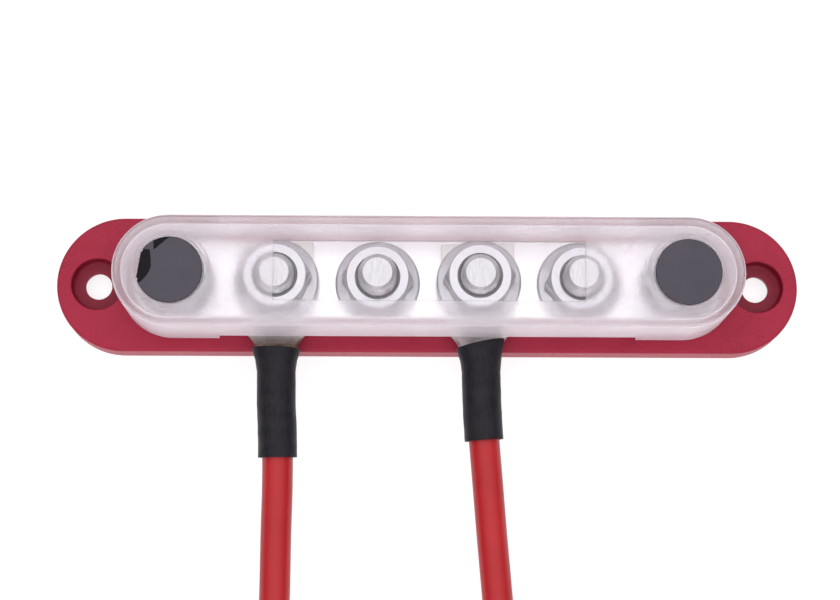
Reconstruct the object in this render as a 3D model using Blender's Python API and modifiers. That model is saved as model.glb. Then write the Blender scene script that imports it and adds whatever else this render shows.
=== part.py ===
"""Four-stud power distribution bus bar: moulded base, plated bar, bolts, nuts, frosted cover and two leads.

Metres, +Z up. The origin is the middle of the base's underside, +X runs along the bar and the leads leave
towards -Y. Run it with: blender --background --python part.py
"""
import math

import bmesh
import bpy
from mathutils import Matrix, Vector

GAP = 0.0003                 # left between pieces that touch

# base
BASE_LENGTH, BASE_WIDTH, BASE_HEIGHT = 0.192, 0.035, 0.008
BASE_EDGE = 0.0009
MOUNT_PITCH, MOUNT_HOLE, COUNTERBORE, COUNTERBORE_FLOOR = 0.171, 0.0068, 0.0134, 0.004
POCKET_FLOOR = 0.001

# bar and its bolts, M10
STUD_PITCH, STUD_COUNT = 0.026, 4
BAR_LENGTH, BAR_WIDTH, BAR_BOTTOM, BAR_TOP = 0.152, 0.023, 0.0058, 0.0088
HEX = 0.016                  # across flats
STUD_DIAMETER, STUD_TOP, STUD_TIP, HEAD_HEIGHT = 0.0098, 0.0256, 0.0074, 0.0042
HOLE_SLACK = 0.0008
NUT_HEIGHT, FLANGE_DIAMETER, FLANGE_EDGE, FLANGE_RISE = 0.010, 0.0218, 0.0015, 0.0031
NUT_BORE, NUT_CHAMFER, NUT_CHAMFER_DEPTH, NUT_MOUTH = 0.0104, 0.0156, 0.0009, 0.0114

# end posts, their inserts, the cover's screws and caps
POST_X = 0.0648
POST_TOP, POST_FLANGE, POST_BORE, POST_STUD = 0.0219, 0.020, 0.0045, 0.0048
INSERT_DIAMETER, INSERT_BORE = 0.0076, 0.0054
SCREW_SHANK, SCREW_HEAD, SCREW_HEAD_HEIGHT, SCREW_TIP_Z = 0.0039, 0.0076, 0.0025, 0.013
CAP_DIAMETER, CAP_THICKNESS, CAP_SINK = 0.0168, 0.0009, 0.0001

# cover
COVER_LENGTH, COVER_WIDTH, COVER_TOP, COVER_WALL = 0.159, 0.0282, 0.0288, 0.0021
COVER_EDGE = 0.0010
SLOT_LENGTH, SLOT_TOP = 0.1072, 0.0124
RECESS_DIAMETER, WELL_DIAMETER, WELL_FLOOR, WELL_BOTTOM = 0.0176, 0.0086, 0.0240, 0.0222
BOSS_WIDE, BOSS_WIDE_Z, BOSS_NARROW, SCREW_HOLE = 0.0200, 0.0258, 0.0124, 0.0046

# lugs, heat-shrink and leads
CABLE_DIAMETER = 0.0078
BARREL_DIAMETER = 0.0079
LUG_BARREL_END = 0.031       # from the lug's hole
LUG_SECTIONS = (             # distance from the hole, half width, thickness, squareness
    (-0.0103, 0.0094, 0.0023, 1.0), (0.0120, 0.0094, 0.0023, 1.0), (0.0132, 0.0079, 0.0024, 0.8),
    (0.0143, 0.0069, 0.0028, 0.6), (0.0158, 0.00595, 0.0044, 0.3), (0.0174, 0.0052, 0.0060, 0.1),
    (0.0194, 0.0044, 0.0073, 0.0), (0.0215, 0.00395, 0.0079, 0.0), (LUG_BARREL_END, 0.00395, 0.0079, 0.0))
SLEEVE_WALL, SLEEVE_RADIUS = 0.00065, 0.00495
SLEEVE_FLARE = (             # distance from the lug's hole, half width and half height over the lug's neck
    (0.0235, 0.00495, 0.00495), (0.0205, 0.00535, 0.00505), (0.0178, 0.0062, 0.0051))
LEADS = {                    # the stud's number, the sleeve's end, and the lead's route from the barrel on
    "left": (0, 0.0453, (
        (-0.0386, -0.0313, 0.01305), (-0.0382, -0.0400, 0.01270), (-0.0382, -0.0520, 0.01160),
        (-0.0386, -0.0650, 0.00985), (-0.0390, -0.0790, 0.00800), (-0.0393, -0.0920, 0.00655),
        (-0.0395, -0.1040, 0.00575), (-0.0396, -0.1150, 0.00535))),
    "right": (2, 0.0408, (
        (0.0137, -0.0313, 0.01305), (0.0142, -0.0400, 0.01275), (0.0152, -0.0520, 0.01170),
        (0.0163, -0.0650, 0.00995), (0.0176, -0.0790, 0.00810), (0.0187, -0.0920, 0.00660),
        (0.0194, -0.1040, 0.00578), (0.0197, -0.1150, 0.00535))),
}
COIL_Y, COIL_RADIUS, COIL_SPACING, COIL_TURNS = -0.1335, 0.044, 0.008, 1.21
COIL_BOTTOM, COIL_HEIGHT = 0.0014, 0.0080
TAIL = 0.0145                # straight end of the lead inside the far sleeve
TIE_THICKNESS, TIE_WIDTH, TIE_ANGLE = 0.0011, 0.0045, math.radians(38)

COLOURS = {                  # colour, roughness, metallic
    "crimson_plastic": ((0.38, 0.03, 0.055), 0.45, 0.0),
    "frosted_plastic": ((0.86, 0.82, 0.85), 0.40, 0.0),
    "black_plastic": ((0.02, 0.02, 0.025), 0.15, 0.0),
    "tinned_copper": ((0.80, 0.79, 0.77), 0.30, 1.0),
    "zinc_steel": ((0.62, 0.61, 0.62), 0.32, 1.0),
    "brass": ((0.72, 0.55, 0.28), 0.35, 1.0),
    "black_sleeve": ((0.015, 0.015, 0.016), 0.55, 0.0),
    "red_pvc": ((0.62, 0.02, 0.02), 0.40, 0.0),
    "black_nylon": ((0.02, 0.02, 0.02), 0.50, 0.0),
}


def clear_scene():
    for obj in list(bpy.data.objects):
        bpy.data.objects.remove(obj)


def new_collection(name):
    collection = bpy.data.collections.new(name)
    bpy.context.scene.collection.children.link(collection)
    return collection


def material(name):
    made = bpy.data.materials.get(name)
    if made:
        return made
    made = bpy.data.materials.new(name)
    made.use_nodes = True
    colour, roughness, metallic = COLOURS[name]
    shader = made.node_tree.nodes["Principled BSDF"]
    shader.inputs["Base Color"].default_value = (*colour, 1)
    shader.inputs["Roughness"].default_value = roughness
    shader.inputs["Metallic"].default_value = metallic
    return made


def place(name, mesh, finish, location=(0, 0, 0), turn=0.0):
    """A named sub-part of the bus bar."""
    obj = bpy.data.objects.new(name, mesh)
    PARTS.objects.link(obj)
    obj.location = location
    obj.rotation_euler[2] = turn
    if not mesh.materials:
        mesh.materials.append(material(finish))
    mesh.shade_smooth()
    mesh.set_sharp_from_angle(angle=math.radians(35))
    return obj


def cutter(mesh):
    obj = bpy.data.objects.new("cutter", mesh)
    CUTTERS.objects.link(obj)
    obj.hide_render = True
    obj.display_type = "WIRE"
    return obj


def baked(obj):
    """The mesh of an object with its modifiers, its location and its caps welded; the object is removed."""
    bpy.context.view_layer.update()
    mesh = bpy.data.meshes.new_from_object(obj.evaluated_get(bpy.context.evaluated_depsgraph_get()))
    mesh.transform(obj.matrix_world)
    bm = bmesh.new()
    bm.from_mesh(mesh)
    bmesh.ops.remove_doubles(bm, verts=bm.verts, dist=1e-6)
    bmesh.ops.recalc_face_normals(bm, faces=bm.faces)
    bm.to_mesh(mesh)
    bm.free()
    bpy.data.objects.remove(obj)
    return mesh


def combined(mesh, *steps):
    """The mesh after Booleans, each step being (operation, other mesh)."""
    obj = cutter(mesh)
    for operation, other in steps:
        modifier = obj.modifiers.new("Boolean", "BOOLEAN")
        modifier.operation = operation
        modifier.object = cutter(other)
    return baked(obj)


def stadium(length, width, steps=12):
    """The outline of a bar with fully round ends."""
    radius, reach = width / 2, (length - width) / 2
    angles = [math.pi * (i / steps - 0.5) for i in range(steps + 1)]
    right = [(reach + radius * math.cos(a), radius * math.sin(a)) for a in angles]
    return right + [(-x, -y) for x, y in right]


def rectangle(width, depth):
    x, y = width / 2, depth / 2
    return [(-x, -y), (x, -y), (x, y), (-x, y)]


def slab(outlines, low, high):
    """A flat solid between two heights. A second outline is a hole."""
    curve = bpy.data.curves.new("outline", "CURVE")
    curve.dimensions = "2D"
    curve.fill_mode = "BOTH"
    curve.extrude = (high - low) / 2
    for outline in outlines:
        spline = curve.splines.new("POLY")
        spline.points.add(len(outline) - 1)
        for point, (x, y) in zip(spline.points, outline):
            point.co = (x, y, 0, 1)
        spline.use_cyclic_u = True
    obj = bpy.data.objects.new("slab", curve)
    CUTTERS.objects.link(obj)
    obj.location.z = (low + high) / 2
    return baked(obj)


def rounded(mesh, height, radius, segments=2):
    """Rounds the edges of a slab that lie at one height."""
    bm = bmesh.new()
    bm.from_mesh(mesh)
    edges = [e for e in bm.edges if all(abs(v.co.z - height) < 1e-6 for v in e.verts)
             and any(abs(f.normal.z) < 0.5 for f in e.link_faces)]
    bmesh.ops.bevel(bm, geom=edges, offset=radius, segments=segments, profile=0.5, affect="EDGES")
    bm.to_mesh(mesh)
    bm.free()
    return mesh


def rod(diameter, low, high, at=(0, 0), sides=24):
    """A cylinder, or a prism measured over its corners, between two heights."""
    bm = bmesh.new()
    bmesh.ops.create_cone(bm, cap_ends=True, segments=sides, radius1=diameter / 2, radius2=diameter / 2,
                          depth=high - low, matrix=Matrix.Translation((*at, (low + high) / 2)))
    mesh = bpy.data.meshes.new("rod")
    bm.to_mesh(mesh)
    bm.free()
    return mesh


def hexagon(across_flats, low, high, at=(0, 0)):
    mesh = rod(across_flats / math.cos(math.pi / 6), low, high, sides=6)
    mesh.transform(Matrix.Translation((*at, 0)) @ Matrix.Rotation(math.radians(30), 4, "Z"))
    return mesh


def turned(profile, steps=24):
    """A solid of revolution. The profile is (radius, height), down the outer side from the top."""
    mesh = bpy.data.meshes.new("profile")
    mesh.from_pydata([(r, 0, z) for r, z in profile], [(i, i + 1) for i in range(len(profile) - 1)], [])
    obj = bpy.data.objects.new("turned", mesh)
    CUTTERS.objects.link(obj)
    screw = obj.modifiers.new("Screw", "SCREW")
    screw.steps = screw.render_steps = steps
    screw.use_merge_vertices = True
    screw.merge_threshold = 0.00001
    return baked(obj)


def ring(outer, inner, low, high, steps=24):
    return turned([(inner, high), (outer, high), (outer, low), (inner, low), (inner, high)], steps)


def stud_x(index):
    return (index - (STUD_COUNT - 1) / 2) * STUD_PITCH


def make_base():
    recess = slab([stadium(BAR_LENGTH + 2 * GAP, BAR_WIDTH + 2 * GAP)], BAR_BOTTOM - GAP, BASE_HEIGHT + GAP)
    cuts = [recess]
    for index in range(STUD_COUNT):
        cuts.append(hexagon(HEX + 2 * GAP, POCKET_FLOOR, BAR_BOTTOM, (stud_x(index), 0)))
    for side in (-1, 1):
        mount, post = (side * MOUNT_PITCH / 2, 0), (side * POST_X, 0)
        cuts.append(rod(COUNTERBORE, COUNTERBORE_FLOOR, BASE_HEIGHT + GAP, mount, 32))
        cuts.append(rod(MOUNT_HOLE, -GAP, BASE_HEIGHT, mount))
        cuts.append(rod(INSERT_DIAMETER + 2 * GAP, POCKET_FLOOR, BAR_BOTTOM, post))
    body = slab([stadium(BASE_LENGTH, BASE_WIDTH, 20)], 0, BASE_HEIGHT)
    rounded(body, BASE_HEIGHT, BASE_EDGE)
    rounded(body, 0, BASE_EDGE / 2, 1)
    place("base", combined(body, *[("DIFFERENCE", cut) for cut in cuts]), "crimson_plastic")


def make_bar():
    holes = [rod(STUD_DIAMETER + HOLE_SLACK, 0, BASE_HEIGHT * 2, (stud_x(i), 0)) for i in range(STUD_COUNT)]
    holes += [rod(POST_STUD + HOLE_SLACK, 0, BASE_HEIGHT * 2, (side * POST_X, 0)) for side in (-1, 1)]
    body = rounded(slab([stadium(BAR_LENGTH, BAR_WIDTH)], BAR_BOTTOM, BAR_TOP), BAR_TOP, GAP, 1)
    place("bus_bar", combined(body, *[("DIFFERENCE", hole) for hole in holes]), "tinned_copper")


def make_studs():
    """Bolts whose heads sit in the base's pockets under the bar."""
    head_top = BAR_BOTTOM - GAP
    chamfer = (STUD_DIAMETER - STUD_TIP) / 2
    shank = turned([(0, STUD_TOP), (STUD_TIP / 2, STUD_TOP), (STUD_DIAMETER / 2, STUD_TOP - chamfer),
                    (STUD_DIAMETER / 2, head_top - HEAD_HEIGHT / 2), (0, head_top - HEAD_HEIGHT / 2)])
    mesh = combined(hexagon(HEX, head_top - HEAD_HEIGHT, head_top), ("UNION", shank))
    for index in range(STUD_COUNT):
        place(f"stud_{index + 1}", mesh, "zinc_steel", (stud_x(index), 0, 0))


def make_nuts():
    """Hex flange nuts. Those over a lug stand higher by its thickness."""
    corner = HEX / math.sqrt(3) + GAP / 2
    shoulder = NUT_HEIGHT - NUT_CHAMFER_DEPTH
    chamfered = turned([(0, NUT_HEIGHT), (NUT_CHAMFER / 2, NUT_HEIGHT), (corner, shoulder),
                        (corner, -GAP), (0, -GAP)])
    flange = turned([(0, FLANGE_RISE), (HEX / 2 + GAP / 2, FLANGE_RISE), (FLANGE_DIAMETER / 2, FLANGE_EDGE),
                     (FLANGE_DIAMETER / 2, 0), (0, 0)], 32)
    mouth = (NUT_MOUTH - NUT_BORE) / 2
    rim = NUT_HEIGHT - GAP
    bore = turned([(0, NUT_HEIGHT + GAP), (NUT_MOUTH / 2, NUT_HEIGHT + GAP), (NUT_MOUTH / 2, rim),
                   (NUT_BORE / 2, rim - mouth), (NUT_BORE / 2, -GAP), (0, -GAP)])
    mesh = combined(hexagon(HEX, FLANGE_EDGE / 2, NUT_HEIGHT + GAP / 2), ("INTERSECT", chamfered),
                    ("UNION", flange), ("DIFFERENCE", bore))
    lugged = [lead[0] for lead in LEADS.values()]
    for index in range(STUD_COUNT):
        seat = BAR_TOP + GAP + (LUG_SECTIONS[0][2] + GAP if index in lugged else 0)
        place(f"nut_{index + 1}", mesh, "zinc_steel", (stud_x(index), 0, seat))


def make_posts():
    """Flanged hexagon posts that hold the bar's ends down and carry the cover, and their inserts."""
    low = BAR_TOP + GAP
    floor = POCKET_FLOOR + GAP
    post = combined(hexagon(HEX, low, POST_TOP),
                    ("UNION", rod(POST_FLANGE, low, low + FLANGE_EDGE, sides=32)),
                    ("UNION", rod(POST_STUD, floor + 2 * GAP, low + GAP)),
                    ("DIFFERENCE", rod(POST_BORE, SCREW_TIP_Z - 0.001, POST_TOP + GAP)))
    insert = ring(INSERT_DIAMETER / 2, INSERT_BORE / 2, floor, BAR_BOTTOM - GAP)
    for name, side in (("left", -1), ("right", 1)):
        place(f"post_{name}", post, "zinc_steel", (side * POST_X, 0, 0))
        place(f"insert_{name}", insert, "brass", (side * POST_X, 0, 0))


def make_cover():
    """The frosted shell: a skirt cut away for the lugs, and a boss, a well and a recess at each post."""
    low = BASE_HEIGHT + GAP
    shell = rounded(slab([stadium(COVER_LENGTH, COVER_WIDTH, 20)], low, COVER_TOP), COVER_TOP, COVER_EDGE, 3)
    inner = slab([stadium(COVER_LENGTH - 2 * COVER_WALL, COVER_WIDTH - 2 * COVER_WALL, 20)],
                 low - GAP, COVER_TOP - COVER_WALL)
    slot = slab([rectangle(SLOT_LENGTH, 2 * COVER_WIDTH)], low - GAP, SLOT_TOP)
    steps = [("DIFFERENCE", inner), ("DIFFERENCE", slot)]
    ceiling = COVER_TOP - COVER_WALL / 2
    for x in (-POST_X, POST_X):
        steps += [("UNION", rod(BOSS_WIDE, BOSS_WIDE_Z, ceiling, (x, 0), 32)),
                  ("UNION", rod(BOSS_NARROW, WELL_BOTTOM, ceiling, (x, 0))),
                  ("DIFFERENCE", rod(RECESS_DIAMETER, COVER_TOP - CAP_SINK - CAP_THICKNESS - GAP,
                                     COVER_TOP + GAP, (x, 0), 32)),
                  ("DIFFERENCE", rod(WELL_DIAMETER, WELL_FLOOR, COVER_TOP, (x, 0))),
                  ("DIFFERENCE", rod(SCREW_HOLE, WELL_BOTTOM - GAP, COVER_TOP, (x, 0)))]
    place("cover", combined(shell, *steps), "frosted_plastic")


def make_cover_fixings():
    """A pan-head screw in each well, and the thin round cap that closes it."""
    seat = WELL_FLOOR + GAP
    head, crown, shank = SCREW_HEAD / 2, seat + SCREW_HEAD_HEIGHT, SCREW_SHANK / 2
    screw = turned([(0, crown), (head * 0.75, crown), (head, seat + SCREW_HEAD_HEIGHT * 0.4), (head, seat),
                    (shank, seat), (shank, SCREW_TIP_Z), (0, SCREW_TIP_Z)])
    top = COVER_TOP - CAP_SINK
    cap = rounded(rod(CAP_DIAMETER, top - CAP_THICKNESS, top, sides=40), top, GAP, 1)
    for name, side in (("left", -1), ("right", 1)):
        place(f"cover_screw_{name}", screw, "zinc_steel", (side * POST_X, 0, 0))
        place(f"cap_{name}", cap, "black_plastic", (side * POST_X, 0, 0))


def loft(rings):
    """A closed solid through rings of equal point count, from the first ring's cap to the last one's."""
    bm = bmesh.new()
    rows = [[bm.verts.new(point) for point in points] for points in rings]
    count = len(rows[0])
    for one, two in zip(rows, rows[1:]):
        for i in range(count):
            j = (i + 1) % count
            bm.faces.new((one[i], one[j], two[j], two[i]))
    bm.faces.new(rows[0])
    bm.faces.new(rows[-1])
    bmesh.ops.recalc_face_normals(bm, faces=bm.faces)
    mesh = bpy.data.meshes.new("loft")
    bm.to_mesh(mesh)
    bm.free()
    return mesh


def lug_ring(distance, half_width, thickness, square, count=16):
    """A section between an ellipse and a rectangle, standing on the palm's underside."""
    points = []
    for i in range(count):
        angle = 2 * math.pi * (i + 0.5) / count
        x, z = math.cos(angle), math.sin(angle)
        grow = 1 + square * (1 / max(abs(x), abs(z)) - 1)
        points.append((half_width * x * grow, -distance, thickness / 2 * (1 + z * grow)))
    return points


def lug_mesh():
    """A ring lug, its hole on the origin, its palm's underside at zero and its barrel towards -Y."""
    body = loft([lug_ring(*section) for section in LUG_SECTIONS])
    return combined(body, ("DIFFERENCE", rod(STUD_DIAMETER + HOLE_SLACK, -GAP, 0.01)))


def smooth_route(points, step):
    """Evenly spaced points on a smooth curve through the route's own points."""
    knots = [Vector(p) for p in points]
    ends = [2 * knots[0] - knots[1]] + knots + [2 * knots[-1] - knots[-2]]
    fine = []
    for a, b, c, d in zip(ends, ends[1:], ends[2:], ends[3:]):
        for i in range(16):
            t = i / 16
            fine.append(0.5 * (2 * b + (c - a) * t + (2 * a - 5 * b + 4 * c - d) * t * t
                               + (3 * b - a - 3 * c + d) * t ** 3))
    fine.append(knots[-1])
    kept, gone = [fine[0]], 0.0
    for one, two in zip(fine, fine[1:]):
        gone += (two - one).length
        if gone >= step:
            kept.append(two)
            gone = 0.0
    if (kept[-1] - fine[-1]).length > step / 2:
        kept.append(fine[-1])
    else:
        kept[-1] = fine[-1]
    return kept


def coil_centre(side, last_x):
    return Vector((last_x + side * COIL_RADIUS, COIL_Y, 0))


def coil_point(side, centre, angle):
    """A point of the flat spiral, which starts beside the lead, heading -Y, and runs inwards."""
    radius = COIL_RADIUS - COIL_SPACING * angle / (2 * math.pi)
    return centre + Vector((-side * math.cos(angle), -math.sin(angle), 0)) * radius


def make_coil(name, side, last_x):
    """The coil's outer shape, and what lies on it: the cable's end, its sleeve, its lug and the tie."""
    centre = coil_centre(side, last_x)
    inner = COIL_RADIUS - COIL_SPACING * COIL_TURNS - CABLE_DIAMETER / 2 - GAP
    outer = COIL_RADIUS + CABLE_DIAMETER / 2 + GAP
    top = COIL_BOTTOM + COIL_HEIGHT
    place(f"cable_{name}_coil", ring(outer, inner, COIL_BOTTOM, top, 40), "red_pvc", centre)

    turn = 2 * math.pi * COIL_TURNS
    start = coil_point(side, centre, turn)
    ahead = (start - coil_point(side, centre, turn - 0.01)).normalized()
    axis_z = top + GAP + SLEEVE_RADIUS
    start.z = axis_z
    end = start + ahead * TAIL
    place(f"cable_{name}_end", tube_mesh([start, (start + end) / 2, end]), "red_pvc")
    heading = math.atan2(-ahead.x, ahead.y)
    hole = end + ahead * (LUG_BARREL_END + GAP) + Vector((0, 0, -BARREL_DIAMETER / 2))
    place(f"lug_far_{name}", LUG, "tinned_copper", hole, heading)
    place(f"sleeve_far_{name}", sleeve_mesh([start, (start + end) / 2, end], hole), "black_sleeve")

    middle = (inner + outer) / 2
    tie_at = centre + Vector((-side * math.cos(TIE_ANGLE), -math.sin(TIE_ANGLE), 0)) * middle
    wide, high = outer - inner + 2 * GAP, COIL_HEIGHT + 2 * GAP
    loop = slab([rectangle(wide + 2 * TIE_THICKNESS, high + 2 * TIE_THICKNESS), rectangle(wide, high)],
                -TIE_WIDTH / 2, TIE_WIDTH / 2)
    loop.transform(Matrix.Rotation(math.radians(90), 4, "X"))
    out = tie_at - centre
    place(f"tie_{name}", loop, "black_nylon", (tie_at.x, tie_at.y, COIL_BOTTOM + COIL_HEIGHT / 2),
          math.atan2(out.y, out.x))


def tube_mesh(points):
    """A round cable through a few points."""
    curve = bpy.data.curves.new("tube", "CURVE")
    curve.dimensions = "3D"
    curve.bevel_depth = CABLE_DIAMETER / 2
    curve.bevel_resolution = 3
    curve.use_fill_caps = True
    spline = curve.splines.new("POLY")
    spline.points.add(len(points) - 1)
    for target, point in zip(spline.points, points):
        target.co = (*point, 1)
    obj = bpy.data.objects.new("tube", curve)
    CUTTERS.objects.link(obj)
    return baked(obj)


def sleeve_mesh(axis, hole):
    """Heat-shrink from the lug's neck over the barrel and the first stretch of the cable.

    axis runs along the cable, nearest the barrel last. hole is the lug's hole, at its palm's underside.
    """
    barrel = axis[-1]
    along = (Vector((hole.x, hole.y, 0)) - Vector((barrel.x, barrel.y, 0))).normalized()
    neck = Vector((hole.x, hole.y, hole.z + BARREL_DIAMETER / 2))
    stations = [(point, SLEEVE_RADIUS, SLEEVE_RADIUS) for point in axis]
    stations += [(neck - along * distance, half_width, half_height)
                 for distance, half_width, half_height in SLEEVE_FLARE]
    bm = bmesh.new()
    rows, count = [], 16
    for index, (point, half_width, half_height) in enumerate(stations):
        before, after = stations[max(index - 1, 0)][0], stations[min(index + 1, len(stations) - 1)][0]
        forward = (after - before).normalized()
        across = forward.cross(Vector((0, 0, 1))).normalized()
        up = across.cross(forward)
        angles = [2 * math.pi * i / count for i in range(count)]
        rows.append([bm.verts.new(point + across * half_width * math.cos(a) + up * half_height * math.sin(a))
                     for a in angles])
    for one, two in zip(rows, rows[1:]):
        for i in range(count):
            bm.faces.new((one[i], one[(i + 1) % count], two[(i + 1) % count], two[i]))
    bmesh.ops.recalc_face_normals(bm, faces=bm.faces)
    mesh = bpy.data.meshes.new("sleeve")
    bm.to_mesh(mesh)
    bm.free()
    obj = bpy.data.objects.new("sleeve", mesh)
    CUTTERS.objects.link(obj)
    wall = obj.modifiers.new("Solidify", "SOLIDIFY")
    wall.thickness = SLEEVE_WALL
    wall.offset = -1
    return baked(obj)


def make_lead(name, side):
    """A lug on its stud, its heat-shrink, and the cable from the barrel to where the coil begins."""
    index, sleeve_end, route = LEADS[name]
    hole = Vector((stud_x(index), 0, BAR_TOP + GAP))
    ahead = hole - Vector(route[0])
    place(f"lug_{name}", LUG, "tinned_copper", hole, math.atan2(-ahead.x, ahead.y))
    points = smooth_route(route, 2 * CABLE_DIAMETER)
    outer = COIL_RADIUS + CABLE_DIAMETER / 2 + 2 * GAP
    reach = math.sqrt(outer ** 2 - (COIL_RADIUS - CABLE_DIAMETER / 2) ** 2)
    stop_y = COIL_Y + reach + GAP
    points = [p for p in points if p.y > stop_y + CABLE_DIAMETER / 2] + [Vector((route[-1][0], stop_y, 0))]
    points[-1].z = points[-2].z + (route[-1][2] - points[-2].z) / 2
    place(f"cable_{name}", tube_mesh(points), "red_pvc")
    covered = [p for p in points if -p.y < sleeve_end]
    beyond = points[len(covered)]
    share = (sleeve_end + covered[-1].y) / (covered[-1].y - beyond.y)
    covered.append(covered[-1].lerp(beyond, share))
    place(f"sleeve_{name}", sleeve_mesh(covered[::-1], hole), "black_sleeve")
    make_coil(name, side, route[-1][0])


clear_scene()
PARTS = new_collection("four_stud_bus_bar")
CUTTERS = new_collection("cutters")
CUTTERS.hide_render = True
make_base()
make_bar()
make_studs()
make_nuts()
make_posts()
make_cover()
make_cover_fixings()
LUG = lug_mesh()
make_lead("left", -1)
make_lead("right", 1)
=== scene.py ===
# Four-stud power bus bar: moulded base, frosted cover, flange nuts and two lugged leads.
import math

import bmesh
import bpy
from mathutils import Matrix, Vector, noise


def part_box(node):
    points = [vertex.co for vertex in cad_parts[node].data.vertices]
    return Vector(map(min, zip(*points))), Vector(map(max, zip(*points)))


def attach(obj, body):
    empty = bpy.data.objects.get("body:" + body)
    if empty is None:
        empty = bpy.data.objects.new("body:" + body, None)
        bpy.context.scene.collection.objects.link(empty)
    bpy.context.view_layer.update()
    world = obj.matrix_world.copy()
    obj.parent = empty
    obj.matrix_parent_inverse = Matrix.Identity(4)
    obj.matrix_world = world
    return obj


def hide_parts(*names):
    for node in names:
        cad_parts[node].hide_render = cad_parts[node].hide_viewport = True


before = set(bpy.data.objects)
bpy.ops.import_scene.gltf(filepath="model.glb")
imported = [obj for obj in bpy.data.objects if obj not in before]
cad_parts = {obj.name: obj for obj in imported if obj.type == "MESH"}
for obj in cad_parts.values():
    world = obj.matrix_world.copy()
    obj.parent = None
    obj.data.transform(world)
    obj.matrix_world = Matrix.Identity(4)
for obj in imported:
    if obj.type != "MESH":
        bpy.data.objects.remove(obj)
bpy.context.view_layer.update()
bothSides = (("left", -1), ("right", 1))
studNodes = ("stud_1", "stud_2", "stud_3", "stud_4")
print("frame loaded")


def middle(node):
    low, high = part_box(node)
    return (low + high) / 2


def placed(name, data):
    made = bpy.data.objects.new(name, data)
    bpy.context.scene.collection.objects.link(made)
    return made


# camera

cameraSettings = {
    "place": (-0.010303, -0.106540, 0.578221),
    "lens": 95.97,
    "clip": (0.01, 20),
    "tilt": 0.17823,  # from straight down, towards +Y
    "pan": 0.01427,
    "roll": 0.00475,
}


def addCamera():
    tilt, pan, roll = (cameraSettings[key] for key in ("tilt", "pan", "roll"))
    ahead = Vector((0, math.sin(tilt), -math.cos(tilt)))
    up = Vector((0, math.cos(tilt), math.sin(tilt)))
    right = Vector((1, 0, 0))
    look = ahead * math.cos(pan) + right * math.sin(pan)
    side = right * math.cos(pan) - ahead * math.sin(pan)
    cameraX = side * math.cos(roll) + up * math.sin(roll)
    cameraY = up * math.cos(roll) - side * math.sin(roll)
    camera = placed("camera", bpy.data.cameras.new("camera"))
    camera.data.lens = cameraSettings["lens"]
    camera.data.clip_start, camera.data.clip_end = cameraSettings["clip"]
    turn = Matrix((cameraX, cameraY, -look)).transposed().to_4x4()
    camera.matrix_world = Matrix.Translation(cameraSettings["place"]) @ turn
    bpy.context.scene.camera = camera


addCamera()
print("camera")


# shape tools

def meshFrom(form, name="form"):
    bmesh.ops.recalc_face_normals(form, faces=form.faces)
    mesh = bpy.data.meshes.new(name)
    form.to_mesh(mesh)
    form.free()
    return mesh


def skinned(form, rows, closed=False):
    # faces between rows of points that each go all the way round
    following = rows[1:] + rows[:1] if closed else rows[1:]
    for one, two in zip(rows, following):
        for i in range(len(one)):
            j = (i + 1) % len(one)
            form.faces.new((one[i], one[j], two[j], two[i]))


def turnedMesh(rows, sides=64, hollow=False):
    # rows are (height, radius), up the outside; a radius can be a function of the angle
    form = bmesh.new()
    rings = []
    for height, radius in rows:
        ring = []
        for i in range(sides):
            angle = 2 * math.pi * i / sides
            reach = radius(angle) if callable(radius) else radius
            ring.append(form.verts.new((reach * math.cos(angle), reach * math.sin(angle), height)))
        rings.append(ring)
    skinned(form, rings, closed=hollow)
    if not hollow:
        form.faces.new(rings[0])
        form.faces.new(rings[-1])
    return meshFrom(form)


def arc(height, radius, size, start, stop, steps=5):
    # rows round a corner whose centre is at (height, radius), angles in degrees from outwards
    rows = []
    for i in range(steps + 1):
        angle = math.radians(start + (stop - start) * i / steps)
        rows.append((height + size * math.sin(angle), radius + size * math.cos(angle)))
    return rows


def stadium(length, width, steps=36):
    radius, reach = width / 2, (length - width) / 2
    angles = [math.pi * (i / steps - 0.5) for i in range(steps + 1)]
    right = [(reach + radius * math.cos(a), radius * math.sin(a)) for a in angles]
    return right + [(-x, -y) for x, y in right]


def rectangle(width, depth):
    x, y = width / 2, depth / 2
    return [(-x, -y), (x, -y), (x, y), (-x, y)]


def slabMesh(outline, low, high):
    form = bmesh.new()
    face = form.faces.new([form.verts.new((x, y, low)) for x, y in outline])
    grown = bmesh.ops.extrude_face_region(form, geom=[face])["geom"]
    upper = [item for item in grown if isinstance(item, bmesh.types.BMVert)]
    bmesh.ops.translate(form, vec=(0, 0, high - low), verts=upper)
    return meshFrom(form)


def softenedAt(mesh, height, size, segments=4):
    # rounds the outline's edge at one height
    form = bmesh.new()
    form.from_mesh(mesh)
    edges = [e for e in form.edges if all(abs(v.co.z - height) < 1e-6 for v in e.verts)
             and any(abs(f.normal.z) < 0.5 for f in e.link_faces)]
    bmesh.ops.bevel(form, geom=edges, offset=size, segments=segments, profile=0.5, affect="EDGES")
    return meshFrom(form)


def moved(mesh, place, turn=None):
    mesh = mesh.copy()
    mesh.transform(Matrix.Translation(place) @ (turn or Matrix.Identity(4)))
    return mesh


def above(node, mesh, height=0.0, turn=None):
    place = middle(node)
    return moved(mesh, (place.x, place.y, height), turn)


def carved(mesh, *steps):
    # each step is (operation, other mesh)
    body = placed("body", mesh)
    others = []
    for operation, other in steps:
        tool = placed("tool", other)
        modifier = body.modifiers.new("Boolean", "BOOLEAN")
        modifier.operation, modifier.object = operation, tool
        others.append(tool)
    bpy.context.view_layer.update()
    finished = body.evaluated_get(bpy.context.evaluated_depsgraph_get())
    made = bpy.data.meshes.new_from_object(finished)
    for obj in [body, *others]:
        bpy.data.objects.remove(obj)
    return made


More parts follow.
